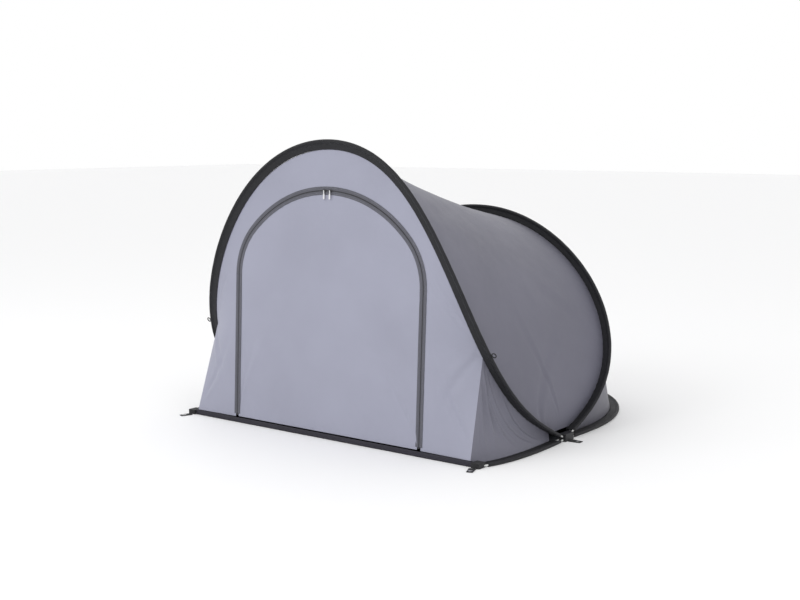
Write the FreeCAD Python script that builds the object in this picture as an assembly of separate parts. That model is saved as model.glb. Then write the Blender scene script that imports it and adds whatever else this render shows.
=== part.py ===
"""Pop-up tent: two sprung rod rings in flat sleeves, five fabric panels, a floor and a zipped door.

Millimetres, +Z up, +Y to the rear.  The origin is on the ground at the middle of the floor.
The two rod rings cross at the left and right of the floor.  The first ring is the front arch and
the rear ground run; the second is the rear arch and the two side ground runs to the front corners.
"""
import FreeCAD
import Part
import math
import os

V = FreeCAD.Vector

# Ground plan
FRONT_Y = -720.0            # line of the front hem
CORNER_X = 683.0            # half the width of the front hem
CROSS_X = 736.0             # half the distance between the two ring crossings
CROSS_Y = -197.0            # the crossings lie this far behind the origin's X axis (negative: in front)
SIDE_BULGE = V(768, -590, 0)   # control point of a side ground run, which bows outwards

# Rod and sleeve
ROD_R = 3.0
ROD_SIDES = 12
TUNNEL_R = 4.6
SLEEVE_R = 6.0              # round outer edge of a sleeve; it rests on the ground
BAND_W = 32.0               # from the rod's centre to the end of the sleeve's flat band
BAND_T = 2.4
SEAM_W = 34.5               # from the rod's centre to the edges of the fabric panels
SEAM_LIFT = 2.0             # the two panels of a seam lie this far each side of the band's plane
ROD_Z = SLEEVE_R
ROD_START = 20.0            # rods start this far from a crossing, inside its clip
SLEEVE_START = 52.0
PANEL_START = 85.0

# Roundness of each curve: amounts of the first, third and fifth harmonic of its sweep
FRONT_SIDE = (-17.0, -10.0)
FRONT_FORWARD = (589.0, 121.0, 11.0)
FRONT_UP = (1006.0, -122.0, -39.0)
REAR_SIDE = (-22.0, -54.0)
REAR_BACK = (546.0, 31.0, 0.0)
REAR_UP = (765.0, -87.0, -43.0)
GROUND_SIDE = (-10.0, -38.0)
GROUND_BACK = (945.0, -28.0, -46.0)

# Fabric
CLOTH = 1.2
FOLD_T = math.radians(30.0)    # sweep angle where the front wall leaves the arch
FOLD_STEP = 0.006              # a side gusset starts this much further down the arch
FOLD_INSET = 26.0              # the fold meets the hem this far in from the corner
CANOPY_SAG = 26.0
WALL_SAG = 22.0

# Front wall, hem and zip
HEM_H = 20.0
HEM_T = 3.0
WALL_SLOPE = 0.045          # the front wall leans back by this much for each unit of height
WALL_Y = FRONT_Y + 3.0
ZIP_HALF = 440.0            # zip centre line: two upright legs, two corner arcs and a flatter top arc
ZIP_SPRING_Z = 584.0        # the legs end here
CORNER_R = 250.0
ZIP_TOP_Z = 916.0
ZIP_GAP = 0.4               # half the gap between the two coils
COIL_W = 2.6
COIL_T = 2.6
TAPE_W = 13.0
ZIP_BOTTOM = 34.0
DOOR_BOTTOM = 30.0
FIT_GAP = 0.5
CORNER_C = ZIP_HALF - CORNER_R
RISE = ZIP_TOP_Z - ZIP_SPRING_Z
DROP = (CORNER_C ** 2 - (RISE - CORNER_R) ** 2) / (2 * (RISE - CORNER_R))   # top arc's centre, below the spring
TOP_R = RISE + DROP
TOP_CENTRE_Z = ZIP_SPRING_Z - DROP
TOP_SPAN = math.atan2(CORNER_C, DROP)

# Sliders and pull tabs
SLIDER_SPREAD = 1.6         # degrees each side of the arc's top
SLIDER_L = 14.0
SLIDER_W = 9.0
PLATE_T = 1.4
PLATE_Y = 1.8               # inner face of a slider plate, from the zip's plane
BAIL_Y = 6.4
TAB_L = 30.0
TAB_W = 7.0

# Fittings
CLIP = (28.0, 60.0, 28.0)
POCKET = (34.0, 40.0, 18.0)
TAB_T = 2.0
PEG_TAB_L = 46.0
PEG_TAB_GAP = 2.5
CORNER_TAB_GAP = 7.5        # a corner tab stands at an angle, so it needs more room
PEG_HOLE_R = 5.0
EYELET_R = 8.0
GUY_R = 8.0
GUY_WIRE_R = 2.0

STATIONS = 25


# ---------- curves ----------

def wave(amounts, t):
    return sum(a * math.sin((2 * i + 1) * t) for i, a in enumerate(amounts))


def across(side, t):
    first = CROSS_X - side[0] - side[1]
    return first * math.cos(t) + side[0] * math.cos(3 * t) + side[1] * math.cos(5 * t)


def front_arch(t):
    return V(across(FRONT_SIDE, t), CROSS_Y - wave(FRONT_FORWARD, t), ROD_Z + wave(FRONT_UP, t))


def rear_arch(t):
    return V(across(REAR_SIDE, t), CROSS_Y + wave(REAR_BACK, t), ROD_Z + wave(REAR_UP, t))


def rear_ground(t):
    return V(across(GROUND_SIDE, t), CROSS_Y + wave(GROUND_BACK, t), ROD_Z)


def side_ground(u, sign):
    """A side ground run, from the crossing (0) to the front corner (1)."""
    start = V(CROSS_X, CROSS_Y, 0)
    end = V(CORNER_X, FRONT_Y, 0)
    p = start * (1 - u) ** 2 + SIDE_BULGE * (2 * u * (1 - u)) + end * u ** 2
    return V(sign * p.x, p.y, ROD_Z)


def arch_inward(t):
    return V(-math.cos(t), 0.30 * math.sin(t), -math.sin(t))


def rear_inward(t):
    return V(-math.cos(t), 0, -math.sin(t))


def ground_inward(t):
    return V(-math.cos(t), -math.sin(t), 0)


def frame_at(curve, inward, s):
    """Point, tangent, band direction and band normal of a run at parameter s."""
    step = 1e-4
    tangent = (curve(s + step) - curve(s - step)).normalize()
    aim = inward(s)
    band = (aim - tangent * aim.dot(tangent)).normalize()
    return curve(s), tangent, band, tangent.cross(band)


def after(curve, s, distance, step=0.002):
    """The parameter at which the run is this far from the point at s; step's sign gives the way."""
    origin = curve(s)
    while (curve(s) - origin).Length < distance:
        s += step
    return s


def spread(a, b, n):
    return [a + (b - a) * i / (n - 1) for i in range(n)]


# ---------- solids along a run ----------

def along(curve, inward, stations, outline):
    """A solid whose section, points in band and normal directions, follows the run."""
    wires = []
    for s in stations:
        p, _, band, normal = frame_at(curve, inward, s)
        corners = [p + band * a + normal * b for a, b in outline]
        wires.append(Part.makePolygon(corners + corners[:1]))
    return Part.makeLoft(wires, True, False)


def round_along(curve, inward, stations, radius):
    """A round solid along the run; each section is four arcs that start at the band direction."""
    wires = []
    for s in stations:
        p, _, band, normal = frame_at(curve, inward, s)
        turns = [math.pi * k / 4 for k in range(9)]
        ring = [p + band * (radius * math.cos(a)) + normal * (radius * math.sin(a)) for a in turns]
        arcs = [Part.Arc(ring[k], ring[k + 1], ring[k + 2]) for k in range(0, 8, 2)]
        wires.append(Part.Wire([arc.toShape() for arc in arcs]))
    return Part.makeLoft(wires, True, False)


def rod_along(curve, inward, stations):
    """A rod as a twelve-sided bar, which keeps its section however coarsely it is meshed."""
    turns = [2 * math.pi * k / ROD_SIDES for k in range(ROD_SIDES)]
    outline = [(ROD_R * math.cos(a), ROD_R * math.sin(a)) for a in turns]
    return along(curve, inward, stations, outline)


def sleeve_outline():
    r = SLEEVE_R
    c = r * 0.414
    t = BAND_T / 2
    return [(-r, -c), (-r, c), (-c, r), (c, r), (r + 3, t), (BAND_W, t),
            (BAND_W, -t), (r + 3, -t), (c, -r), (-c, -r)]


def run_parts(curve, inward, first, last, rod_ends, count=STATIONS):
    """The rod and the hollow sleeve of one run."""
    rod = rod_along(curve, inward, spread(rod_ends[0], rod_ends[1], count))
    tunnel = round_along(curve, inward, spread(rod_ends[0], rod_ends[1], count), TUNNEL_R)
    sleeve = along(curve, inward, spread(first, last, count), sleeve_outline()).cut(tunnel)
    return rod, sleeve.Solids[0]


def ferrule(curve, inward, centre, half):
    stations = spread(centre - half, centre + half, 5)
    wide = spread(centre - 1.2 * half, centre + 1.2 * half, 5)
    outer = round_along(curve, inward, stations, ROD_R + 1.1)
    return outer.cut(round_along(curve, inward, wide, ROD_R + 0.1)).Solids[0]


# ---------- fabric sheets ----------

def surface(rows):
    s = Part.BSplineSurface()
    s.interpolate(rows)
    return s


def grid_normals(rows):
    n = len(rows)
    m = len(rows[0])
    normals = []
    for i in range(n):
        line = []
        for j in range(m):
            du = rows[min(i + 1, n - 1)][j] - rows[max(i - 1, 0)][j]
            dv = rows[i][min(j + 1, m - 1)] - rows[i][max(j - 1, 0)]
            line.append(du.cross(dv).normalize())
        normals.append(line)
    return normals


def sheet(rows, thickness=CLOTH):
    """A closed sheet of cloth through a grid of points."""
    normals = grid_normals(rows)
    sides = []
    for sign in (1, -1):
        moved = [[p + n * (sign * thickness / 2) for p, n in zip(row, line)]
                 for row, line in zip(rows, normals)]
        sides.append(surface(moved))
    faces = [s.toShape() for s in sides]
    u0, u1, v0, v1 = sides[0].bounds()
    for u in (u0, u1):
        faces.append(Part.makeRuledSurface(sides[0].uIso(u).toShape(), sides[1].uIso(u).toShape()))
    for v in (v0, v1):
        faces.append(Part.makeRuledSurface(sides[0].vIso(v).toShape(), sides[1].vIso(v).toShape()))
    shell = Part.Shell(faces)
    shell.sewShape()
    solid = Part.Solid(shell)
    if solid.Volume < 0:
        solid.reverse()
    return solid


def seam(curve, inward, s, side):
    """A point on the edge of a panel: side is +1 or -1 along the band's normal."""
    p, _, band, normal = frame_at(curve, inward, s)
    return p + band * SEAM_W + normal * (side * SEAM_LIFT)


def panel_between(lower, upper, rows, sag):
    """Grid from one edge to the other, hollowed towards the middle by the sag vector."""
    grid = []
    for a, b in zip(lower, upper):
        line = []
        for v in spread(0.0, 1.0, rows):
            line.append(a + (b - a) * v)
        grid.append(line)
    n = len(grid)
    for i in range(n):
        along_share = math.sin(math.pi * i / (n - 1))
        for j in range(rows):
            share = along_share * math.sin(math.pi * j / (rows - 1))
            grid[i][j] = grid[i][j] + sag * share
    return grid


def canopy():
    a0 = after(front_arch, 0.0, PANEL_START)
    b0 = after(rear_arch, 0.0, PANEL_START)
    front = [seam(front_arch, arch_inward, t, 1) for t in spread(a0, math.pi - a0, 17)]
    rear = [seam(rear_arch, rear_inward, t, -1) for t in spread(b0, math.pi - b0, 17)]
    return sheet(panel_between(front, rear, 7, V(0, 0, -CANOPY_SAG)))


def rear_wall():
    a0 = after(rear_arch, 0.0, PANEL_START)
    b0 = after(rear_ground, 0.0, PANEL_START)
    upper = [seam(rear_arch, rear_inward, t, 1) for t in spread(a0, math.pi - a0, 17)]
    lower = [seam(rear_ground, ground_inward, t, 1) for t in spread(b0, math.pi - b0, 17)]
    return sheet(panel_between(upper, lower, 7, V(0, -WALL_SAG, 0)))


def wall_y(z):
    return WALL_Y + WALL_SLOPE * z


def front_wall():
    grid = []
    for u in spread(0.0, 1.0, 21):
        t = math.pi - FOLD_T - u * (math.pi - 2 * FOLD_T)
        top = seam(front_arch, arch_inward, t, -1)
        x0 = (2 * u - 1) * (CORNER_X - FOLD_INSET)
        z0 = HEM_H + 1.0
        bend = 4 - 3 * abs(2 * u - 1) ** 8       # straight at the folds, flat in the middle
        line = []
        for v in spread(0.0, 1.0, 13):
            z = z0 + (top.z - z0) * v
            y = wall_y(z) + (top.y - wall_y(top.z)) * v ** bend
            line.append(V(x0 + (top.x - x0) * v, y, z))
        grid.append(line)
    hole = upright(arch_face(ZIP_GAP + COIL_W + TAPE_W, DOOR_BOTTOM - 1), 80)
    return sheet(grid).cut(hole).Solids[0]


def gusset(sign):
    """Side panel under the arch's lower leg, from the fold to the crossing."""
    a1 = after(front_arch, 0.0, PANEL_START)
    upper = [seam(front_arch, arch_inward, t, -1) for t in spread(FOLD_T - FOLD_STEP, a1, 9)]
    right_run = lambda u: side_ground(u, 1)
    b0 = after(right_run, 1.0, 95, -0.002)
    b1 = after(right_run, 0.0, PANEL_START)
    lower = [V(CORNER_X - FOLD_INSET, wall_y(HEM_H) + 4, HEM_H + 1)]
    for u in spread(b0, b1, 8):
        p, _, band, _ = frame_at(right_run, side_inward(1), u)
        lower.append(p + band * SEAM_W + V(0, 0, SEAM_LIFT + 1))
    grid = panel_between(lower, upper, 6, V(-WALL_SAG, 6, 0))
    if sign < 0:
        grid = [[V(-p.x, p.y, p.z) for p in line] for line in grid]
    return sheet(grid)


def floor_panel():
    inset = SEAM_W + 2
    points = []
    b0 = after(rear_ground, 0.0, 45)
    for t in spread(b0, math.pi - b0, 15):
        p, _, band, _ = frame_at(rear_ground, ground_inward, t)
        points.append(p + band * inset)
    rear_line = [V(p.x, p.y, 0) for p in points]
    side = []
    for u in spread(0.12, 0.9, 6):
        p, _, band, _ = frame_at(lambda s: side_ground(s, 1), side_inward(1), u)
        side.append(V(p.x + band.x * inset, p.y + band.y * inset, 0))
    left = [V(-p.x, p.y, 0) for p in side]
    front_right = V(CORNER_X - 40, FRONT_Y + 6, 0)
    front_left = V(-CORNER_X + 40, FRONT_Y + 6, 0)
    edges = [spline(rear_line)]
    edges.append(Part.makeLine(rear_line[-1], left[0]))
    edges.append(spline(left))
    edges.append(Part.makeLine(left[-1], front_left))
    edges.append(Part.makeLine(front_left, front_right))
    edges.append(Part.makeLine(front_right, side[-1]))
    edges.append(spline(side[::-1]))
    edges.append(Part.makeLine(side[0], rear_line[0]))
    return Part.Face(Part.Wire(edges)).extrude(V(0, 0, CLOTH))


def spline(points):
    curve = Part.BSplineCurve()
    curve.interpolate(points)
    return curve.toShape()


def side_inward(sign):
    return lambda s: V(-sign, 0, 0)


# ---------- front hem, door and zip ----------

def arch_face(offset, bottom):
    """Arch outline in the XZ plane, this far outside the zip's centre line."""
    half = ZIP_HALF + offset
    a = V(-half, 0, bottom)
    d = V(half, 0, bottom)
    edges = [Part.makeLine(a, V(-half, 0, ZIP_SPRING_Z)), corner_arc(-1, offset)]
    ends = [on_top_arc(k * TOP_SPAN, offset) for k in (-1, 0, 1)]
    edges.append(Part.Arc(ends[0], ends[1], ends[2]).toShape())
    edges += [corner_arc(1, offset), Part.makeLine(V(half, 0, ZIP_SPRING_Z), d), Part.makeLine(d, a)]
    return Part.Face(Part.Wire(edges))


def on_top_arc(angle, offset=0.0):
    radius = TOP_R + offset
    return V(radius * math.sin(angle), 0, TOP_CENTRE_Z + radius * math.cos(angle))


def corner_arc(sign, offset):
    radius = CORNER_R + offset
    points = []
    for share in (0.0, 0.5, 1.0):
        angle = (math.pi / 2 - TOP_SPAN) * share
        points.append(V(sign * (CORNER_C + radius * math.cos(angle)), 0, ZIP_SPRING_Z + radius * math.sin(angle)))
    if sign < 0:
        return Part.Arc(points[0], points[1], points[2]).toShape()
    return Part.Arc(points[2], points[1], points[0]).toShape()


def lean(shape):
    """From the XZ plane to the plane of the front wall."""
    moved = shape.copy()
    moved.rotate(V(0, 0, 0), V(1, 0, 0), -math.degrees(math.atan(WALL_SLOPE)))
    moved.translate(V(0, WALL_Y, 0))
    return moved


def upright(face, thickness):
    solid = face.extrude(V(0, thickness, 0))
    solid.translate(V(0, -thickness / 2, 0))
    return lean(solid)


def arch_strip(outer, inner, thickness):
    solid = arch_face(outer, ZIP_BOTTOM).extrude(V(0, thickness, 0))
    hole = arch_face(inner, ZIP_BOTTOM - 10).extrude(V(0, 3 * thickness, 0))
    hole.translate(V(0, -thickness, 0))
    strip = solid.cut(hole).Solids[0]
    strip.translate(V(0, -thickness / 2, 0))
    return lean(strip)


def block(centre, size):
    return Part.makeBox(size[0], size[1], size[2], V(centre[0] - size[0] / 2, centre[1] - size[1] / 2,
                                                     centre[2] - size[2] / 2))


def slider(sign):
    """Two plates and the post between the coils, with two ears and a bail bar on the front."""
    y = PLATE_Y + PLATE_T / 2
    body = block((0, -y, 0), (SLIDER_L, PLATE_T, SLIDER_W))
    body = body.fuse(block((0, y, 0), (SLIDER_L, PLATE_T, SLIDER_W)))
    body = body.fuse(block((0, 0, 0), (4.0, 2 * PLATE_Y + 0.2, 1.1 * ZIP_GAP)))
    for side in (-1, 1):
        ear = block((side * 3.0, -(PLATE_Y + BAIL_Y) / 2 - 1.2, 0), (1.2, BAIL_Y - PLATE_Y + 0.6, 3.4))
        body = body.fuse(ear)
    bar = Part.makeCylinder(0.8, 6.0, V(-3.0, -BAIL_Y, 0), V(1, 0, 0))
    body = body.fuse(bar)
    return place_on_zip(body.removeSplitter(), sign)


def pull_tab(sign):
    """A knuckle that turns on the bail bar, and the plate that hangs from it."""
    knuckle = Part.makeCylinder(1.9, 4.2, V(-2.1, -BAIL_Y, 0), V(1, 0, 0))
    plate = block((0, -BAIL_Y, -TAB_L / 2 - 1), (4.0, 1.2, TAB_L))
    paddle = block((0, -BAIL_Y, -TAB_L * 0.7), (TAB_W, 1.4, TAB_L * 0.6))
    bore = Part.makeCylinder(0.95, 20.0, V(-10, -BAIL_Y, 0), V(1, 0, 0))
    tab = knuckle.fuse(plate).fuse(paddle).cut(bore)
    return place_on_zip(tab.removeSplitter(), sign)


def place_on_zip(shape, sign):
    moved = shape.copy()
    moved.translate(V(0, 0, TOP_R))
    moved.rotate(V(0, 0, 0), V(0, 1, 0), sign * SLIDER_SPREAD)
    moved.translate(V(0, 0, TOP_CENTRE_Z))
    return lean(moved)


def zip_stops():
    """One stop at the foot of each leg."""
    stops = []
    for sign in (-1, 1):
        stops.append(lean(block((sign * ZIP_HALF, 0, ZIP_BOTTOM - 3.0), (8.0, 3.0, 4.0))))
    return Part.Compound(stops)


# ---------- fittings ----------

def crossing_clip(sign, rods):
    """Moulded clip that holds both rings where they cross."""
    clip = block((sign * CROSS_X, CROSS_Y, CLIP[2] / 2), CLIP)
    for socket in rods:
        clip = clip.cut(socket)
    return clip.Solids[0]


def socket(curve, inward, a, b):
    return round_along(curve, inward, spread(a, b, 5), ROD_R + 0.15)


def corner_pocket(sign, rod_socket):
    """Pocket at a front corner that takes the tip of the side rod."""
    centre = (sign * CORNER_X, FRONT_Y + POCKET[1] / 2 - 8, POCKET[2] / 2)
    return block(centre, POCKET).cut(rod_socket).Solids[0]


def tapered_tab(origin, out, wide, narrow):
    """Flat webbing tab with a hole for the eyelet, pointing along out from its sewn edge."""
    side = V(-out.y, out.x, 0)
    corners = [origin + side * (wide / 2), origin + out * PEG_TAB_L + side * (narrow / 2),
               origin + out * PEG_TAB_L - side * (narrow / 2), origin - side * (wide / 2)]
    solid = Part.Face(Part.makePolygon(corners + corners[:1])).extrude(V(0, 0, TAB_T))
    hole = Part.makeCylinder(EYELET_R + 0.1, 10, eyelet_centre(origin, out) - V(0, 0, 5), V(0, 0, 1))
    return solid.cut(hole).Solids[0]


def eyelet_centre(origin, out):
    return origin + out * (PEG_TAB_L - 15)


def eyelet(origin, out):
    base = eyelet_centre(origin, out) - V(0, 0, 0.4)
    ring = Part.makeCylinder(EYELET_R, TAB_T + 0.8, base, V(0, 0, 1))
    return ring.cut(Part.makeCylinder(PEG_HOLE_R, 10, base - V(0, 0, 2), V(0, 0, 1)))


def peg_origin(sign):
    return V(sign * (CROSS_X + CLIP[0] / 2 + PEG_TAB_GAP), CROSS_Y, 0.6)


def loop_origin(sign):
    return V(sign * (CORNER_X - 4), FRONT_Y - 8 - CORNER_TAB_GAP, 0.6)


def guy_loop(sign):
    """Ring sewn to the outside of the arch where the front wall leaves it."""
    t = FOLD_T if sign > 0 else math.pi - FOLD_T
    p, tangent, band, _ = frame_at(front_arch, arch_inward, t)
    reach = SLEEVE_R + GUY_R + GUY_WIRE_R + FIT_GAP
    return Part.makeTorus(GUY_R, GUY_WIRE_R, p - band * reach, tangent.cross(band))


# ---------- the whole tent ----------

def frame_parts(out):
    span = math.pi
    runs = (("front_arch", front_arch, arch_inward), ("rear_arch", rear_arch, rear_inward),
            ("rear_ground", rear_ground, ground_inward))
    sockets = {1: [], -1: []}
    for name, curve, inward in runs:
        a = after(curve, 0.0, ROD_START)
        s = after(curve, 0.0, SLEEVE_START)
        count = 2 * STATIONS - 1
        rod, sleeve = run_parts(curve, inward, s, span - s, (a, span - a), count)
        out[name + "_rod"] = rod
        out[name + "_sleeve"] = sleeve
        out[name + "_ferrule"] = ferrule(curve, inward, span / 2, 0.04)
        before = after(curve, 0.0, ROD_START - 1)
        past = after(curve, 0.0, CLIP[1])
        sockets[1].append(socket(curve, inward, before, past))
        sockets[-1].append(socket(curve, inward, span - before, span - past))
    for side, sign in (("left", -1), ("right", 1)):
        curve = lambda u, k=sign: side_ground(u, k)
        inward = side_inward(sign)
        a = after(curve, 0.0, ROD_START)
        b = after(curve, 1.0, 6.0, -0.002)
        s0 = after(curve, 0.0, SLEEVE_START)
        s1 = after(curve, 1.0, 46.0, -0.002)
        rod, sleeve = run_parts(curve, inward, s0, s1, (a, b), 13)
        out["side_rod_" + side] = rod
        out["side_sleeve_" + side] = sleeve
        before = after(curve, 0.0, ROD_START - 1)
        sockets[sign].append(socket(curve, inward, before, after(curve, 0.0, CLIP[1])))
        tip = after(curve, 1.0, 5.0, -0.002)
        tip_socket = socket(curve, inward, tip, after(curve, 1.0, 60.0, -0.002))
        out["crossing_clip_" + side] = crossing_clip(sign, sockets[sign])
        out["corner_pocket_" + side] = corner_pocket(sign, tip_socket)
    return out


def fabric_parts(out):
    out["canopy"] = canopy()
    out["rear_wall"] = rear_wall()
    out["front_wall"] = front_wall()
    out["side_gusset_left"] = gusset(-1)
    out["side_gusset_right"] = gusset(1)
    out["floor"] = floor_panel()
    length = 2 * (CORNER_X - POCKET[0] / 2 - FIT_GAP)
    out["front_hem_tape"] = block((0, FRONT_Y, HEM_H / 2), (length, HEM_T, HEM_H))
    return out


def zip_parts(out):
    outer = ZIP_GAP
    inner = -ZIP_GAP
    out["zip_coil_wall"] = arch_strip(outer + COIL_W, outer, COIL_T)
    out["zip_tape_wall"] = arch_strip(outer + COIL_W + TAPE_W - FIT_GAP, outer + COIL_W, CLOTH)
    out["zip_coil_door"] = arch_strip(inner, inner - COIL_W, COIL_T)
    out["zip_tape_door"] = arch_strip(inner - COIL_W, inner - COIL_W - TAPE_W + FIT_GAP, CLOTH)
    out["door_panel"] = upright(arch_face(inner - COIL_W - TAPE_W, DOOR_BOTTOM), CLOTH)
    out["zip_stops"] = zip_stops()
    for side, sign in (("left", -1), ("right", 1)):
        out["slider_" + side] = slider(sign)
        out["pull_tab_" + side] = pull_tab(sign)
    return out


def fitting_parts(out):
    for side, sign in (("left", -1), ("right", 1)):
        outward = V(sign, 0, 0)
        out["peg_tab_" + side] = tapered_tab(peg_origin(sign), outward, 34, 24)
        out["peg_eyelet_" + side] = eyelet(peg_origin(sign), outward)
        forward = V(0.35 * sign, -1, 0).normalize()
        out["corner_tab_" + side] = tapered_tab(loop_origin(sign), forward, 26, 22)
        out["corner_eyelet_" + side] = eyelet(loop_origin(sign), forward)
        out["guy_loop_" + side] = guy_loop(sign)
    return out


def main():
    os.makedirs("parts", exist_ok=True)
    nodes = {}
    for add in (frame_parts, fabric_parts, zip_parts, fitting_parts):
        add(nodes)
    for name, shape in nodes.items():
        if not shape.isValid():
            print("invalid:", name)
        box = shape.BoundBox
        print("%-22s solids %d faces %3d  volume %9.0f  y %6.0f..%6.0f z %6.1f..%6.1f"
              % (name, len(shape.Solids), len(shape.Faces), shape.Volume, box.YMin, box.YMax, box.ZMin, box.ZMax))
        shape.exportStep("parts/" + name + ".step")


main()
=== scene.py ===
"""Looks of the pop-up tent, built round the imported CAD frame.  Metres, +Z up, front towards -Y."""
import math

import bpy
import numpy as np
from mathutils import Euler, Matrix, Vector, noise


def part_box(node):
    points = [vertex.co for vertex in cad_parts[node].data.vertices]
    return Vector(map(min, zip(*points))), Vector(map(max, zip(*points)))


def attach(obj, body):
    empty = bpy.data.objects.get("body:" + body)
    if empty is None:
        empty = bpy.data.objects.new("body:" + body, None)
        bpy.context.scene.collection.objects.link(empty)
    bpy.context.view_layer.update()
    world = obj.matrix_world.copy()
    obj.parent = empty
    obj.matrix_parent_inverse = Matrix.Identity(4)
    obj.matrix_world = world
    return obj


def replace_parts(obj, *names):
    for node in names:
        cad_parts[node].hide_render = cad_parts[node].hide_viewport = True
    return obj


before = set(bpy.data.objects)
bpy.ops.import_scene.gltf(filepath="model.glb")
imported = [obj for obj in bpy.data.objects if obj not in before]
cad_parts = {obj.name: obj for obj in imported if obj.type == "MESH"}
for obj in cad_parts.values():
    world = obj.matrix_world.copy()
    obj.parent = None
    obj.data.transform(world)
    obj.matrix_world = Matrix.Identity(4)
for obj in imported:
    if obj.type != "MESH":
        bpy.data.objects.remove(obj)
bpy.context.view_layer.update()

# Driving dimensions, read from the frame
CLIP_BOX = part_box("crossing_clip_right")
POCKET_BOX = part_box("corner_pocket_right")
HEM_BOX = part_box("front_hem_tape")
DOOR_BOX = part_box("door_panel")
CROSS_X = (CLIP_BOX[0][0] + CLIP_BOX[1][0]) / 2
CROSS_Y = (CLIP_BOX[0][1] + CLIP_BOX[1][1]) / 2
CORNER_X = (POCKET_BOX[0][0] + POCKET_BOX[1][0]) / 2
FRONT_Y = (HEM_BOX[0][1] + HEM_BOX[1][1]) / 2
HEM_TOP = HEM_BOX[1][2]

# Rod, sleeve and seam sizes
ROD_Z = 0.006
SLEEVE_R = 0.006
BAND_W = 0.032
BAND_T = 0.0024
SEAM_W = 0.0325
SLEEVE_START = 0.052
PANEL_START = 0.075
SLEEVE_STEP = 0.008         # spacing of a sleeve's sections
PANEL_STEP = 0.011          # spacing of a panel's edge points, before they are evened out
CORNER_STOP = 0.046         # a side sleeve ends this far before its corner
SEAM_LIFT = 0.001           # the two panels of a seam lie this far each side of the band's plane

# Roundness of each run: first, third and fifth harmonic of its sweep
FRONT_SIDE = (-0.017, -0.010)
FRONT_FORWARD = (0.589, 0.121, 0.011)
FRONT_UP = (1.006, -0.122, -0.039)
REAR_SIDE = (-0.022, -0.054)
REAR_BACK = (0.546, 0.031, 0.0)
REAR_UP = (0.765, -0.087, -0.043)
GROUND_SIDE = (-0.010, -0.038)
GROUND_BACK = (0.945, -0.028, -0.046)
SIDE_BULGE = (0.768, -0.590)
FOLD_T = math.radians(30.0)
FOLD_INSET = 0.026

# Front wall plane and zip line
WALL_SLOPE = 0.045
WALL_Y = FRONT_Y + 0.003
ZIP_HALF = 0.440            # half the distance between the zip's legs
ZIP_SPRING_Z = 0.584        # the legs end here
CORNER_R = 0.250            # corner arcs, then a flatter top arc
ZIP_TOP_Z = 0.916
ZIP_BOTTOM = 0.034
CLOTH_EDGE = 0.0075         # distances from the zip line: the cloth edges, the seam stitches and the tapes
STITCH_LINE = 0.0105
TAPE_NEAR = 0.0016
TAPE_FAR = 0.0150
TAPE_OUT = -0.0008          # offsets out of the wall's plane
STITCH_OUT = -0.0016
CORNER_C = ZIP_HALF - CORNER_R
RISE = ZIP_TOP_Z - ZIP_SPRING_Z
DROP = (CORNER_C ** 2 - (RISE - CORNER_R) ** 2) / (2 * (RISE - CORNER_R))
TOP_R = RISE + DROP
TOP_CENTRE_Z = ZIP_SPRING_Z - DROP
TOP_SPAN = math.atan2(CORNER_C, DROP)
LEAN = math.atan(WALL_SLOPE)

# Camera and light
CAMERA_AT = (2.893, -4.092, 1.118)
CAMERA_TURN = 36.9
CAMERA_DOWN = 7.7
CAMERA_LENS = 55.1


# ---------- curves ----------

def harmonics(amounts, t):
    return sum(a * np.sin((2 * i + 1) * t) for i, a in enumerate(amounts))


def across(side, t):
    return (CROSS_X - sum(side)) * np.cos(t) + side[0] * np.cos(3 * t) + side[1] * np.cos(5 * t)


def front_arch(t):
    return np.stack([across(FRONT_SIDE, t), CROSS_Y - harmonics(FRONT_FORWARD, t),
                     ROD_Z + harmonics(FRONT_UP, t)], -1)


def rear_arch(t):
    return np.stack([across(REAR_SIDE, t), CROSS_Y + harmonics(REAR_BACK, t),
                     ROD_Z + harmonics(REAR_UP, t)], -1)


def rear_ground(t):
    return np.stack([across(GROUND_SIDE, t), CROSS_Y + harmonics(GROUND_BACK, t),
                     np.full_like(t, ROD_Z)], -1)


def side_ground(sign):
    def run(u):
        x = CROSS_X * (1 - u) ** 2 + SIDE_BULGE[0] * 2 * u * (1 - u) + CORNER_X * u ** 2
        y = CROSS_Y * (1 - u) ** 2 + SIDE_BULGE[1] * 2 * u * (1 - u) + FRONT_Y * u ** 2
        return np.stack([sign * x, y, np.full_like(u, ROD_Z)], -1)
    return run


def arch_aim(t):
    return np.stack([-np.cos(t), 0.3 * np.sin(t), -np.sin(t)], -1)


def rear_aim(t):
    return np.stack([-np.cos(t), 0 * t, -np.sin(t)], -1)


def ground_aim(t):
    return np.stack([-np.cos(t), -np.sin(t), 0 * t], -1)


def side_aim(sign):
    return lambda u: np.stack([-sign + 0 * u, 0 * u, 0 * u], -1)


def unit(v):
    return v / np.linalg.norm(v, axis=-1, keepdims=True)


def frames(run, aim, t):
    """Points, tangents, band directions and band normals along a run."""
    step = 1e-4
    tangent = unit(run(t + step) - run(t - step))
    band = aim(t)
    band = unit(band - tangent * (band * tangent).sum(-1, keepdims=True))
    return run(t), tangent, band, np.cross(tangent, band)


def distances(points):
    """Distance of each point from the first, along the line through them."""
    return np.concatenate([[0], np.cumsum(np.linalg.norm(np.diff(points, axis=0), axis=1))])


def at_distances(points, s, wanted):
    """The points at the wanted distances along a line whose points lie at the distances s."""
    return np.stack([np.interp(wanted, s, points[:, k]) for k in range(3)], -1)


def even(run, start, stop, spacing):
    """Parameters at even distances along a run, between the distances start and stop from its ends."""
    t = np.linspace(0, start[1], 4000)
    s = distances(run(t))
    count = max(8, int((s[-1] - start[0] - stop) / spacing))
    return np.interp(np.linspace(start[0], s[-1] - stop, count), s, t)


def seam(run, aim, t, lift):
    p, _, band, normal = frames(run, aim, t)
    return p + band * SEAM_W + normal * lift


# ---------- meshes ----------

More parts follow.
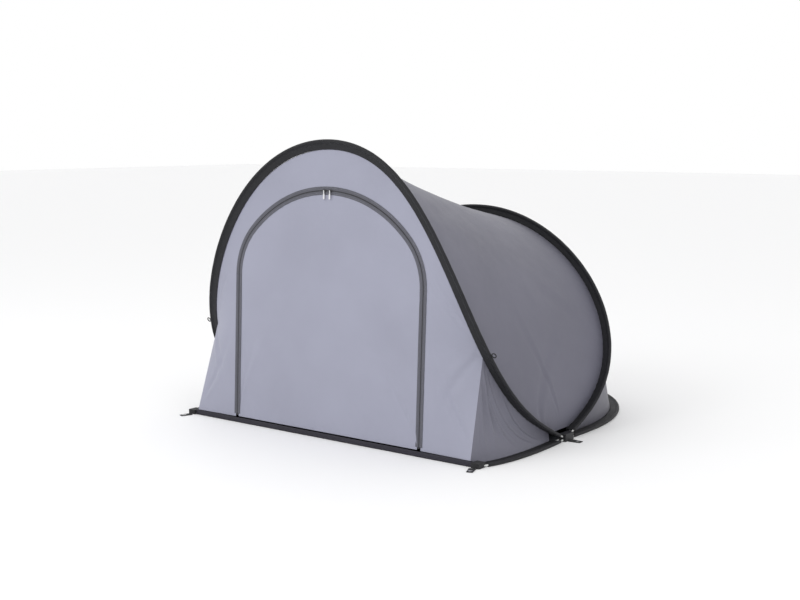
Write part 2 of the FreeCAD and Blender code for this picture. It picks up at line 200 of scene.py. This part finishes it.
def hash_noise(points, scale, seed):
    """Smooth noise, -1 to 1, at each point of an array."""
    flat = points.reshape(-1, 3) / scale + seed * 17.3
    values = np.array([noise.noise(Vector(q)) for q in flat])
    return values.reshape(points.shape[:-1])


def mesh_object(name, verts, faces, material, body):
    mesh = bpy.data.meshes.new(name)
    mesh.from_pydata([tuple(v) for v in verts], [], faces)
    mesh.validate()
    mesh.update()
    mesh.polygons.foreach_set("use_smooth", [True] * len(mesh.polygons))
    obj = bpy.data.objects.new(name, mesh)
    bpy.context.scene.collection.objects.link(obj)
    mesh.materials.append(material)
    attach(obj, body)
    return obj


def grid_faces(n, m, wrap=False):
    faces = []
    for i in range(n - 1):
        for j in range(m if wrap else m - 1):
            k = (j + 1) % m
            faces.append((i * m + j, i * m + k, (i + 1) * m + k, (i + 1) * m + j))
    return faces


def grid_normal(p):
    return unit(np.cross(np.gradient(p, axis=0), np.gradient(p, axis=1)) + 1e-12)


def crease(a, b, start, end, width, depth):
    """A soft pleat in a panel's 0-1 coordinates, from start to end, fading at both."""
    along = np.array(end) - np.array(start)
    length = np.linalg.norm(along)
    along = along / length
    s = ((a - start[0]) * along[0] + (b - start[1]) * along[1]) / length
    d = -(a - start[0]) * along[1] + (b - start[1]) * along[0]
    fade = np.clip(s * 4, 0, 1) * np.clip((1 - s) * 2, 0, 1)
    spread = width * (0.5 + np.clip(s, 0, 1))
    return depth * fade * (np.exp(-(d / spread) ** 2) - 0.6 * np.exp(-((d - 1.8 * spread) / spread) ** 2))


def border(a, b, reach):
    """0 on a panel's border, 1 inside it."""
    edge = np.minimum(np.minimum(a, 1 - a), np.minimum(b, 1 - b))
    return np.clip(edge / reach, 0, 1) ** 0.8


def cloth_panel(name, p, material, body, node, creases=(), swell=0.003, pucker=0.0016, seed=1):
    """A stretched sheet through the grid p, with pleats, slow swells and small puckers at its seams."""
    n, m = p.shape[:2]
    a, b = np.meshgrid(np.linspace(0, 1, n), np.linspace(0, 1, m), indexing="ij")
    inside = border(a, b, 0.06)
    rise = swell * hash_noise(p, 0.24, seed) * inside
    rise += 0.35 * swell * hash_noise(p * np.array([1, 1, 0.5]), 0.07, seed + 3) * inside
    for c in creases:
        rise += crease(a, b, *c) * np.clip(border(a, b, 0.02), 0, 1)
    run = np.concatenate([np.zeros((1, m)), np.cumsum(np.linalg.norm(np.diff(p, axis=0), axis=-1), 0)])
    wave = np.sin(run * 2 * math.pi / 0.034 + 3 * hash_noise(p, 0.1, seed + 5))
    near = np.exp(-b / 0.035) + np.exp(-(1 - b) / 0.035)
    rise += pucker * wave * near * np.clip(np.minimum(b, 1 - b) / 0.008, 0, 1)
    shape = p + grid_normal(p) * rise[..., None]
    obj = mesh_object(name, shape.reshape(-1, 3), grid_faces(n, m), material, body)
    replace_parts(obj, node)


def blend_rows(first, second, rows, sag):
    """Grid from one edge line to the other, hollowed by sag."""
    v = np.linspace(0, 1, rows)[None, :, None]
    p = first[:, None] * (1 - v) + second[:, None] * v
    u = np.linspace(0, 1, len(first))[:, None, None]
    return p + np.array(sag) * np.sin(math.pi * u) * np.sin(math.pi * v)


def resample(points, count):
    s = distances(points)
    return at_distances(points, s, np.linspace(0, s[-1], count))


# ---------- materials ----------

def node_material(name, base, roughness):
    mat = bpy.data.materials.new(name)
    mat.use_nodes = True
    tree = mat.node_tree
    shader = tree.nodes["Principled BSDF"]
    shader.inputs["Base Color"].default_value = (*base, 1)
    shader.inputs["Roughness"].default_value = roughness
    return mat, tree, shader


def add_noise(tree, coords, scale, detail):
    tex = tree.nodes.new("ShaderNodeTexNoise")
    tex.inputs["Scale"].default_value = scale
    tex.inputs["Detail"].default_value = detail
    tree.links.new(coords.outputs["Object"], tex.inputs["Vector"])
    return tex


def add_ramp(tree, source, low, high):
    ramp = tree.nodes.new("ShaderNodeValToRGB")
    ramp.color_ramp.elements[0].position = 0.3
    ramp.color_ramp.elements[1].position = 0.7
    ramp.color_ramp.elements[0].color = (*low, 1)
    ramp.color_ramp.elements[1].color = (*high, 1)
    tree.links.new(source, ramp.inputs["Fac"])
    return ramp


def add_wave(tree, coords, direction, scale):
    wave = tree.nodes.new("ShaderNodeTexWave")
    wave.bands_direction = direction
    wave.inputs["Scale"].default_value = scale
    wave.inputs["Distortion"].default_value = 0.4
    tree.links.new(coords.outputs["Object"], wave.inputs["Vector"])
    return wave


def math_node(tree, kind, a, b):
    node = tree.nodes.new("ShaderNodeMath")
    node.operation = kind
    for k, value in enumerate((a, b)):
        if isinstance(value, float):
            node.inputs[k].default_value = value
        else:
            tree.links.new(value, node.inputs[k])
    return node.outputs[0]


def woven(name, base, spread=0.10, threads=260.0, roughness=0.55, sheen=0.25, strength=0.25, wear=0.5):
    """Coated woven cloth: crossing threads, slow colour drift, small creases and dusty wear."""
    mat, tree, shader = node_material(name, base, roughness)
    coords = tree.nodes.new("ShaderNodeTexCoord")
    drift = add_noise(tree, coords, 3.2, 4.0)
    low = [c * (1 - spread) for c in base]
    high = [c * (1 + spread) for c in base]
    colour = add_ramp(tree, drift.outputs["Fac"], low, high)
    tree.links.new(colour.outputs["Color"], shader.inputs["Base Color"])
    warp = add_wave(tree, coords, "X", threads)
    weft = add_wave(tree, coords, "Z", threads)
    weave = math_node(tree, "MULTIPLY", warp.outputs["Fac"], weft.outputs["Fac"])
    crumple = add_noise(tree, coords, 26.0, 6.0)
    crumple.inputs["Distortion"].default_value = 0.6
    height = math_node(tree, "ADD", math_node(tree, "MULTIPLY", weave, 0.22),
                       math_node(tree, "MULTIPLY", crumple.outputs["Fac"], wear))
    bump = tree.nodes.new("ShaderNodeBump")
    bump.inputs["Strength"].default_value = strength
    bump.inputs["Distance"].default_value = 0.002
    tree.links.new(height, bump.inputs["Height"])
    tree.links.new(bump.outputs["Normal"], shader.inputs["Normal"])
    gloss = tree.nodes.new("ShaderNodeMapRange")
    gloss.inputs["To Min"].default_value = roughness - 0.08
    gloss.inputs["To Max"].default_value = roughness + 0.10
    tree.links.new(crumple.outputs["Fac"], gloss.inputs["Value"])
    tree.links.new(gloss.outputs["Result"], shader.inputs["Roughness"])
    shader.inputs["Sheen Weight"].default_value = sheen
    shader.inputs["Sheen Roughness"].default_value = 0.4
    return mat


def hard(name, base, roughness, metallic=0.0, grain=300.0, strength=0.08):
    """Moulded plastic, fibreglass or metal with a fine grain and uneven gloss."""
    mat, tree, shader = node_material(name, base, roughness)
    shader.inputs["Metallic"].default_value = metallic
    coords = tree.nodes.new("ShaderNodeTexCoord")
    grain_tex = add_noise(tree, coords, grain, 4.0)
    scuff = add_noise(tree, coords, 24.0, 6.0)
    colour = add_ramp(tree, scuff.outputs["Fac"], [c * 0.9 for c in base], [min(1, c * 1.08) for c in base])
    tree.links.new(colour.outputs["Color"], shader.inputs["Base Color"])
    gloss = tree.nodes.new("ShaderNodeMapRange")
    gloss.inputs["To Min"].default_value = max(0.05, roughness - 0.1)
    gloss.inputs["To Max"].default_value = roughness + 0.15
    tree.links.new(scuff.outputs["Fac"], gloss.inputs["Value"])
    tree.links.new(gloss.outputs["Result"], shader.inputs["Roughness"])
    bump = tree.nodes.new("ShaderNodeBump")
    bump.inputs["Strength"].default_value = strength
    bump.inputs["Distance"].default_value = 0.0005
    tree.links.new(grain_tex.outputs["Fac"], bump.inputs["Height"])
    tree.links.new(bump.outputs["Normal"], shader.inputs["Normal"])
    return mat


WALL = woven("wall_cloth", (0.300, 0.306, 0.385), spread=0.05, roughness=0.6, sheen=0.1)
CANOPY = woven("canopy_cloth", (0.122, 0.121, 0.158), spread=0.06, roughness=0.55, sheen=0.1)
# Side-gusset cloth: the wall's fabric with a darker colour for the shade its side is in, so painted shade.
GUSSET_PAINTED_SHADE = woven("gusset_cloth_painted_shade", (0.150, 0.149, 0.190), spread=0.06, roughness=0.55, sheen=0.1)
REAR = woven("rear_cloth", (0.110, 0.108, 0.134), spread=0.06, roughness=0.55, sheen=0.1)
GROUND = woven("groundsheet", (0.055, 0.056, 0.066), threads=160.0, roughness=0.45, sheen=0.0)
SLEEVE = woven("sleeve_cloth", (0.0045, 0.0048, 0.0075), spread=0.25, threads=200.0, roughness=0.7,
               sheen=0.03, strength=0.5)
HEM = woven("hem_cloth", (0.014, 0.012, 0.022), spread=0.2, threads=180.0, roughness=0.7, sheen=0.03)
TAPE = woven("zip_tape_cloth", (0.085, 0.086, 0.105), spread=0.1, threads=320.0, roughness=0.75, sheen=0.1)
WEBBING = woven("webbing_cloth", (0.010, 0.010, 0.012), spread=0.2, threads=120.0, roughness=0.7, sheen=0.05)
THREAD_DARK = woven("thread_dark", (0.03, 0.03, 0.036), threads=700.0, roughness=0.6)
THREAD_LIGHT = woven("thread_light", (0.36, 0.36, 0.42), threads=700.0, roughness=0.6)
ROD = hard("fibreglass", (0.72, 0.73, 0.72), 0.32)
PLASTIC = hard("moulded_plastic", (0.010, 0.010, 0.012), 0.45)
COIL = hard("nylon_coil", (0.045, 0.045, 0.052), 0.4)
BRASS = hard("brass", (0.60, 0.44, 0.18), 0.35, metallic=1.0)
STEEL = hard("eyelet_steel", (0.55, 0.55, 0.56), 0.3, metallic=1.0)
ENAMEL = hard("slider_enamel", (0.03, 0.03, 0.034), 0.35)
BRIGHT = hard("bright_plate", (0.80, 0.80, 0.82), 0.18, metallic=1.0)


# ---------- rods, sleeves and fittings ----------

def sleeve(name, run, aim, t, node, seed):
    """A rod sleeve: round over the rod, then a flat band with puckers and two rows of stitches."""
    p, _, band, normal = frames(run, aim, t)
    turns = np.linspace(math.radians(35), math.radians(325), 15)
    profile = [(SLEEVE_R * math.cos(a), SLEEVE_R * math.sin(a)) for a in turns]
    flat = np.linspace(0.011, BAND_W, 8)
    half = BAND_T / 2
    lower = [(w, -half) for w in flat]
    upper = [(w, half) for w in flat[::-1]]
    outline = np.array(profile + lower + upper)
    n = len(t)
    m = len(outline)
    a = outline[:, 0][None, :, None]
    b = outline[:, 1][None, :, None]
    verts = p[:, None] + band[:, None] * a + normal[:, None] * b
    wobble = hash_noise(verts, 0.03, seed) * 0.0007 + hash_noise(verts, 0.008, seed + 1) * 0.00025
    length = distances(p)
    ripple = np.sin(length * 2 * math.pi / 0.023 + 2 * hash_noise(p, 0.09, seed + 2))[:, None]
    reach = np.clip((a[..., 0] - 0.008) / 0.02, 0, 1)
    push = wobble + 0.0006 * ripple * reach
    clear = np.clip(verts[..., 2] / 0.004, 0, 1)
    verts = verts + normal[:, None] * (push * clear)[..., None]
    verts[..., 2] = np.maximum(verts[..., 2], 0.0001)
    faces = grid_faces(n, m, wrap=True)
    faces.append(tuple(range(m))[::-1])
    faces.append(tuple((n - 1) * m + j for j in range(m)))
    obj = mesh_object(name, verts.reshape(-1, 3), faces, SLEEVE, "tent")
    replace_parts(obj, node)
    for row, w in enumerate((0.0125, BAND_W - 0.004)):
        for side in (-1, 1):
            line = p + band * w + normal * (side * (half + 0.0004))
            stitches("%s_stitch_%d_%s" % (name, row, "a" if side > 0 else "b"), line, normal * side,
                     THREAD_DARK, "tent")


def stitches(name, line, normals, material, body, pitch=0.0052, stitch=0.0034, thick=0.0007):
    """A row of short raised threads along a line."""
    s = distances(line)
    starts = np.arange(0.004, s[-1] - 0.006, pitch)
    verts = []
    faces = []
    for at in starts:
        ends = [np.array([np.interp(x, s, line[:, k]) for k in range(3)]) for x in (at, at + stitch)]
        n = np.array([np.interp(at, s, normals[:, k]) for k in range(3)])
        along = unit(ends[1] - ends[0])
        side = np.cross(along, n)
        k = len(verts)
        mid = (ends[0] + ends[1]) / 2
        for q, w, h in ((ends[0], 0.35, 0.0), (mid, 1.0, 1.0), (ends[1], 0.35, 0.0)):
            verts.append(q + side * (thick * w / 2) + n * (thick * 0.45 * h - 0.0001))
            verts.append(q + n * (thick * (0.25 + 0.6 * h)))
            verts.append(q - side * (thick * w / 2) + n * (thick * 0.45 * h - 0.0001))
        for i in (0, 3):
            faces.append((k + i, k + i + 1, k + i + 4, k + i + 3))
            faces.append((k + i + 1, k + i + 2, k + i + 5, k + i + 4))
    mesh_object(name, verts, faces, material, body)


def sleeves():
    t = even(front_arch, (SLEEVE_START, math.pi), SLEEVE_START, SLEEVE_STEP)
    sleeve("sleeve_front_arch", front_arch, arch_aim, t, "front_arch_sleeve", 1)
    t = even(rear_arch, (SLEEVE_START, math.pi), SLEEVE_START, SLEEVE_STEP)
    sleeve("sleeve_rear_arch", rear_arch, rear_aim, t, "rear_arch_sleeve", 2)
    t = even(rear_ground, (SLEEVE_START, math.pi), SLEEVE_START, SLEEVE_STEP)
    sleeve("sleeve_rear_ground", rear_ground, ground_aim, t, "rear_ground_sleeve", 3)
    for side, sign in (("left", -1), ("right", 1)):
        run = side_ground(sign)
        t = even(run, (SLEEVE_START, 1.0), CORNER_STOP, SLEEVE_STEP)
        sleeve("sleeve_side_" + side, run, side_aim(sign), t, "side_sleeve_" + side, 4 + sign)


# ---------- panels ----------

def canopy():
    a = even(front_arch, (PANEL_START, math.pi), PANEL_START, PANEL_STEP)
    b = even(rear_arch, (PANEL_START, math.pi), PANEL_START, PANEL_STEP)
    front = resample(seam(front_arch, arch_aim, a, SEAM_LIFT), 280)
    rear = resample(seam(rear_arch, rear_aim, b, -SEAM_LIFT), 280)
    p = blend_rows(front, rear, 120, (0, 0, -0.026))
    marks = [((0.02, 0.1), (0.24, 0.75), 0.012, 0.0030), ((0.03, 0.5), (0.22, 0.35), 0.012, 0.0026),
             ((0.98, 0.1), (0.76, 0.75), 0.012, 0.0030), ((0.97, 0.5), (0.78, 0.35), 0.012, 0.0026),
             ((0.34, 0.02), (0.42, 0.6), 0.016, 0.0024), ((0.66, 0.02), (0.58, 0.6), 0.016, 0.0024),
             ((0.15, 0.98), (0.28, 0.5), 0.014, 0.0022), ((0.85, 0.98), (0.72, 0.5), 0.014, 0.0022)]
    cloth_panel("canopy_cloth", p, CANOPY, "tent", "canopy", marks, seed=11)


def rear_wall():
    a = even(rear_arch, (PANEL_START, math.pi), PANEL_START, PANEL_STEP)
    b = even(rear_ground, (PANEL_START, math.pi), PANEL_START, PANEL_STEP)
    upper = resample(seam(rear_arch, rear_aim, a, SEAM_LIFT), 260)
    lower = resample(seam(rear_ground, ground_aim, b, 0.0028), 260)
    lower[:, 2] = ROD_Z + 0.003
    p = blend_rows(upper, lower, 110, (0, -0.022, 0))
    marks = [((0.03, 0.2), (0.26, 0.8), 0.012, 0.0034), ((0.97, 0.2), (0.74, 0.8), 0.012, 0.0034),
             ((0.30, 0.02), (0.24, 0.9), 0.014, 0.0030), ((0.70, 0.02), (0.76, 0.9), 0.014, 0.0030),
             ((0.44, 0.03), (0.40, 0.7), 0.014, 0.0024), ((0.58, 0.03), (0.62, 0.7), 0.014, 0.0024)]
    cloth_panel("rear_wall_cloth", p, REAR, "tent", "rear_wall", marks, seed=21)


def fold_line(count):
    """The right fold, straight from the hem up to the arch."""
    foot = np.array([CORNER_X - FOLD_INSET, WALL_Y + WALL_SLOPE * HEM_TOP, HEM_TOP + 0.0005])
    head = seam(front_arch, arch_aim, np.array([FOLD_T]), -SEAM_LIFT)[0]
    v = np.linspace(0, 1, count)[:, None]
    return foot * (1 - v) + head * v


def gussets():
    for side, sign in (("left", -1), ("right", 1)):
        upper_t = np.linspace(FOLD_T, 0.075, 90)
        upper = resample(seam(front_arch, arch_aim, upper_t, -SEAM_LIFT), 90)
        run = side_ground(1)
        lower_t = np.linspace(0.93, 0.10, 90)
        lower = seam(run, side_aim(1), lower_t, 0.0)
        lower[:, 2] = ROD_Z + 0.003
        fold = fold_line(60)
        lower = resample(np.concatenate([fold[:1], lower]), 90)
        p = blend_rows(lower, upper, 60, (-0.016, 0.005, 0))
        marks = [((0.01, 0.98), (0.30, 0.10), 0.022, 0.0075), ((0.01, 0.92), (0.52, 0.06), 0.022, 0.0065),
                 ((0.03, 0.99), (0.75, 0.10), 0.020, 0.0050), ((0.01, 0.80), (0.16, 0.05), 0.022, 0.0060),
                 ((0.30, 0.98), (0.85, 0.20), 0.020, 0.0035)]
        if sign < 0:
            p = p * np.array([-1, 1, 1])
        # The gussets take the cloth whose darker colour is painted shade.
        cloth_panel("gusset_" + side, p, GUSSET_PAINTED_SHADE, "tent", "side_gusset_" + side, marks, seed=31 + sign)


def zip_line(offset, bottom, count, legs):
    """Points up the right leg, over the arch and down the left leg, in the wall's own plane."""
    up = np.linspace(bottom, ZIP_SPRING_Z, legs)
    side = np.linspace(0, math.pi / 2 - TOP_SPAN, count // 4)
    over = np.linspace(TOP_SPAN, -TOP_SPAN, count - 2 * (count // 4) + 2)[1:-1]
    corner_x = CORNER_C + (CORNER_R + offset) * np.cos(side)
    corner_z = ZIP_SPRING_Z + (CORNER_R + offset) * np.sin(side)
    leg = np.full(legs, ZIP_HALF + offset)
    x = np.concatenate([leg, corner_x, (TOP_R + offset) * np.sin(over), -corner_x[::-1], -leg])
    crown = TOP_CENTRE_Z + (TOP_R + offset) * np.cos(over)
    z = np.concatenate([up, corner_z, crown, corner_z[::-1], up[::-1]])
    return np.stack([x, np.zeros_like(x), z], -1)


def lean(p):
    """From the wall's own upright plane to the leaning wall."""
    x, y, z = p[..., 0], p[..., 1], p[..., 2]
    return np.stack([x, WALL_Y + y * math.cos(LEAN) + z * math.sin(LEAN),
                     -y * math.sin(LEAN) + z * math.cos(LEAN)], -1)


def front_wall():
    legs, arc, rows = 60, 150, 40
    inner = lean(zip_line(CLOTH_EDGE, ZIP_BOTTOM - 0.012, arc, legs))
    fold = fold_line(50)
    over = seam(front_arch, arch_aim, np.linspace(FOLD_T, math.pi / 2, 400), -SEAM_LIFT)
    half = np.concatenate([resample(fold, 45), resample(over, 2 + legs + arc // 2 - 45)[1:]])
    half = half[:legs + arc // 2]
    mirror = half[::-1] * np.array([-1, 1, 1])
    outer = np.concatenate([half, mirror])
    v = np.linspace(0, 1, rows)[None, :, None]
    p = inner[:, None] * (1 - v) + outer[:, None] * v
    plane = WALL_Y + WALL_SLOPE * p[..., 2]
    stray = outer[:, 1] - (WALL_Y + WALL_SLOPE * outer[:, 2])
    p[..., 1] = plane + stray[:, None] * np.linspace(0, 1, rows)[None, :] ** 2.2
    p[..., 2] = np.maximum(p[..., 2], HEM_TOP - 0.002)
    marks = [((0.02, 0.98), (0.14, 0.1), 0.012, 0.0045), ((0.98, 0.98), (0.86, 0.1), 0.012, 0.0045),
             ((0.17, 0.99), (0.06, 0.3), 0.012, 0.0050), ((0.83, 0.99), (0.94, 0.3), 0.012, 0.0050),
             ((0.19, 0.98), (0.25, 0.2), 0.010, 0.0030), ((0.81, 0.98), (0.75, 0.2), 0.010, 0.0030)]
    cloth_panel("front_wall_cloth", p, WALL, "tent", "front_wall", marks,
                swell=0.0016, pucker=0.0010, seed=41)
    line = lean(zip_line(STITCH_LINE, ZIP_BOTTOM, arc, legs) + np.array([0, STITCH_OUT, 0]))
    out = np.tile([0.0, -1.0, 0.0], (len(line), 1))
    stitches("zip_seam_stitch_wall", line, out, THREAD_LIGHT, "tent")
    line = lean(zip_line(-STITCH_LINE, ZIP_BOTTOM, arc, legs) + np.array([0, STITCH_OUT, 0]))
    stitches("zip_seam_stitch_door", line, out, THREAD_LIGHT, "door")


def door():
    """The door: an arch-shaped sheet, in columns from the bottom edge to the zip line."""
    cols, rows = 150, 150
    edge = -CLOTH_EDGE
    x = (ZIP_HALF + edge) * np.sin(np.linspace(-math.pi / 2, math.pi / 2, cols))
    reach = np.abs(x) - CORNER_C
    side = ZIP_SPRING_Z + np.sqrt(np.maximum((CORNER_R + edge) ** 2 - np.maximum(reach, 0) ** 2, 0))
    over = TOP_CENTRE_Z + np.sqrt((TOP_R + edge) ** 2 - x ** 2)
    top = np.where(np.abs(x) > (TOP_R + edge) * math.sin(TOP_SPAN), side, over)
    bottom = DOOR_BOX[0][2] - 0.006
    v = np.linspace(0, 1, rows)[None, :]
    z = bottom * (1 - v) + top[:, None] * v
    p = lean(np.stack([np.repeat(x[:, None], rows, 1), np.zeros_like(z), z], -1))
    marks = [((0.04, 0.02), (0.35, 0.6), 0.02, 0.0016), ((0.97, 0.03), (0.62, 0.5), 0.02, 0.0018),
             ((0.5, 0.98), (0.42, 0.4), 0.03, 0.0016)]
    cloth_panel("door_cloth", p, WALL, "door", "door_panel", marks, swell=0.0028, pucker=0.0006, seed=51)


def strip(name, low, high, y, body, node):
    """A flat strip that follows the zip line between two distances from its centre line."""
    lines = [lean(zip_line(r, ZIP_BOTTOM, 220, 90) + np.array([0, y, 0])) for r in np.linspace(low, high, 7)]
    p = np.stack(lines, 1)
    n, m = p.shape[:2]
    obj = mesh_object(name, p.reshape(-1, 3), grid_faces(n, m), TAPE, body)
    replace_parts(obj, node)


def teeth(name, sign, body, node):
    """One side of the coil: a row of small rounded loops at a steady pitch."""
    pitch = 0.0030
    line = lean(zip_line(0.0, ZIP_BOTTOM, 900, 500))
    s = distances(line)
    at = np.arange(0.002 + (0.25 * pitch if sign > 0 else 0.75 * pitch), s[-1] - 0.002, pitch)
    centre = at_distances(line, s, at)
    along = unit(at_distances(line, s, at + 0.001) - at_distances(line, s, at - 0.001))
    front = np.array([0.0, -math.cos(LEAN), math.sin(LEAN)])
    out = np.cross(front, along) * -sign
    ring = [(a, b) for a, b in ((0.45, 0.0), (0.32, 0.32), (0.0, 0.45), (-0.32, 0.32), (-0.45, 0.0),
                                (-0.32, -0.32), (0.0, -0.45), (0.32, -0.32))]
    verts = []
    faces = []
    for c, t, o in zip(centre, along, out):
        k = len(verts)
        for reach, size in ((-0.0002, 0.7), (0.0006, 1.15), (0.0022, 1.0), (0.0030, 0.6)):
            for a, b in ring:
                verts.append(c + o * reach + t * (a * 0.0024 * size) + front * (b * 0.0032 * size))
        for i in range(3):
            for j in range(8):
                q = (j + 1) % 8
                faces.append((k + 8 * i + j, k + 8 * i + q, k + 8 * i + 8 + q, k + 8 * i + 8 + j))
        faces.append(tuple(k + j for j in range(8))[::-1])
        faces.append(tuple(k + 24 + j for j in range(8)))
    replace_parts(mesh_object(name, verts, faces, COIL, body), node)


def zips():
    strip("zip_tape_outer", TAPE_NEAR, TAPE_FAR, TAPE_OUT, "tent", "zip_tape_wall")
    strip("zip_tape_inner", -TAPE_FAR, -TAPE_NEAR, TAPE_OUT, "door", "zip_tape_door")
    teeth("coil_outer", 1, "tent", "zip_coil_wall")
    teeth("coil_inner", -1, "door", "zip_coil_door")


def floor_sheet():
    """Groundsheet, lying just inside the ground sleeves."""
    rear_t = np.linspace(0.10, math.pi / 2, 70)
    right = seam(side_ground(1), side_aim(1), np.linspace(0.93, 0.10, 40), 0)
    back = seam(rear_ground, ground_aim, rear_t, 0)
    edge = resample(np.concatenate([right, back]), 110)
    edge[:, 0] = np.maximum(edge[:, 0], 0.001)
    v = np.linspace(-1, 1, 90)[None, :]
    x = edge[:, 0][:, None] * v
    y = np.repeat(edge[:, 1][:, None], 90, 1)
    p = np.stack([x, y, np.full_like(x, 0.0012)], -1)
    p[..., 2] += 0.0010 * np.abs(hash_noise(p, 0.12, 61))
    obj = mesh_object("floor_cloth", p.reshape(-1, 3), grid_faces(110, 90), GROUND, "tent")
    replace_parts(obj, "floor")


def hem():
    """Front hem tape: a folded binding with a soft rolled lower edge."""
    low, high = HEM_BOX
    n = 260
    x = np.linspace(low[0], high[0], n)
    half = (high[1] - low[1]) / 2
    ring = [(-half * 0.9, 0.0008), (-half, 0.006), (-half * 0.8, 0.013), (-half * 0.6, high[2] - 0.0005),
            (half * 0.4, high[2]), (half, 0.012), (half * 0.9, 0.004), (half * 0.3, 0.0003)]
    p = np.zeros((n, len(ring), 3))
    bow = 0.0012 * np.sin(np.linspace(0, 9 * math.pi, n)) * np.sin(np.linspace(0, math.pi, n))
    for j, (dy, z) in enumerate(ring):
        p[:, j, 0] = x
        p[:, j, 1] = FRONT_Y + dy + bow * 0.5
        p[:, j, 2] = z
    p[..., 1] += 0.0005 * hash_noise(p, 0.02, 71)
    m = len(ring)
    faces = grid_faces(n, m, wrap=True)
    faces.append(tuple(range(m))[::-1])
    faces.append(tuple((n - 1) * m + j for j in range(m)))
    obj = mesh_object("front_hem", p.reshape(-1, 3), faces, HEM, "tent")
    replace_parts(obj, "front_hem_tape")
    line = np.stack([x, FRONT_Y - half - 0.0003 + bow * 0.5, np.full(n, 0.0165)], -1)
    stitches("front_hem_stitch", line, np.tile([0.0, -1.0, 0.0], (n, 1)), THREAD_DARK, "tent")


# ---------- carried-over CAD parts ----------

def dress(nodes, material):
    for name in nodes:
        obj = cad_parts[name]
        if not obj.material_slots:
            obj.data.materials.append(material)
        for slot in obj.material_slots:
            slot.material = material


def carried_parts():
    both = ("left", "right")
    dress(["front_arch_rod", "rear_arch_rod", "rear_ground_rod", "side_rod_left", "side_rod_right"], ROD)
    dress(["front_arch_ferrule", "rear_arch_ferrule", "rear_ground_ferrule"], BRASS)
    dress(["crossing_clip_" + s for s in both], PLASTIC)
    dress(["guy_loop_" + s for s in both] + ["corner_pocket_" + s for s in both], WEBBING)
    dress(["peg_tab_" + s for s in both] + ["corner_tab_" + s for s in both], WEBBING)
    dress(["peg_eyelet_" + s for s in both] + ["corner_eyelet_" + s for s in both], STEEL)
    dress(["slider_" + s for s in both] + ["zip_stops"], ENAMEL)
    dress(["pull_tab_" + s for s in both], BRIGHT)


# ---------- stage, light and camera ----------

def stage():
    mat = node_material("ground_white", (0.93, 0.93, 0.935), 0.7)[0]
    size = 30.0             # half the width of the floor
    mesh = bpy.data.meshes.new("ground_surface")
    corners = [(-size, -size, 0), (size, -size, 0), (size, size, 0), (-size, size, 0)]
    mesh.from_pydata(corners, [], [(0, 1, 2, 3)])
    ground = bpy.data.objects.new("ground_surface", mesh)
    bpy.context.scene.collection.objects.link(ground)
    mesh.materials.append(mat)


def area_light(name, place, target, size, power):
    light = bpy.data.lights.new(name, "AREA")
    light.size = size
    light.energy = power
    obj = bpy.data.objects.new(name, light)
    obj.location = place
    obj.rotation_euler = (Vector(target) - Vector(place)).to_track_quat("-Z", "Y").to_euler()
    bpy.context.scene.collection.objects.link(obj)


def lights():
    world = bpy.data.worlds.new("studio")
    bpy.context.scene.world = world
    bpy.context.scene.view_settings.view_transform = "Standard"
    world.use_nodes = True
    world.node_tree.nodes["Background"].inputs["Color"].default_value = (1, 1, 1, 1)
    world.node_tree.nodes["Background"].inputs["Strength"].default_value = 1.0
    area_light("key", (-1.6, -4.2, 3.6), (0, -0.3, 0.4), 2.6, 60)
    area_light("fill", (3.5, -1.0, 3.0), (0, 0, 0.4), 3.0, 10)


def camera():
    data = bpy.data.cameras.new("camera")
    data.lens = CAMERA_LENS
    data.sensor_width = 36.0
    obj = bpy.data.objects.new("camera", data)
    obj.location = CAMERA_AT
    obj.rotation_euler = Euler((math.radians(90 - CAMERA_DOWN), 0, math.radians(CAMERA_TURN)))
    bpy.context.scene.collection.objects.link(obj)
    bpy.context.scene.camera = obj


stage()
sleeves()
canopy()
rear_wall()
gussets()
front_wall()
door()
zips()
floor_sheet()
hem()
carried_parts()
lights()
camera()
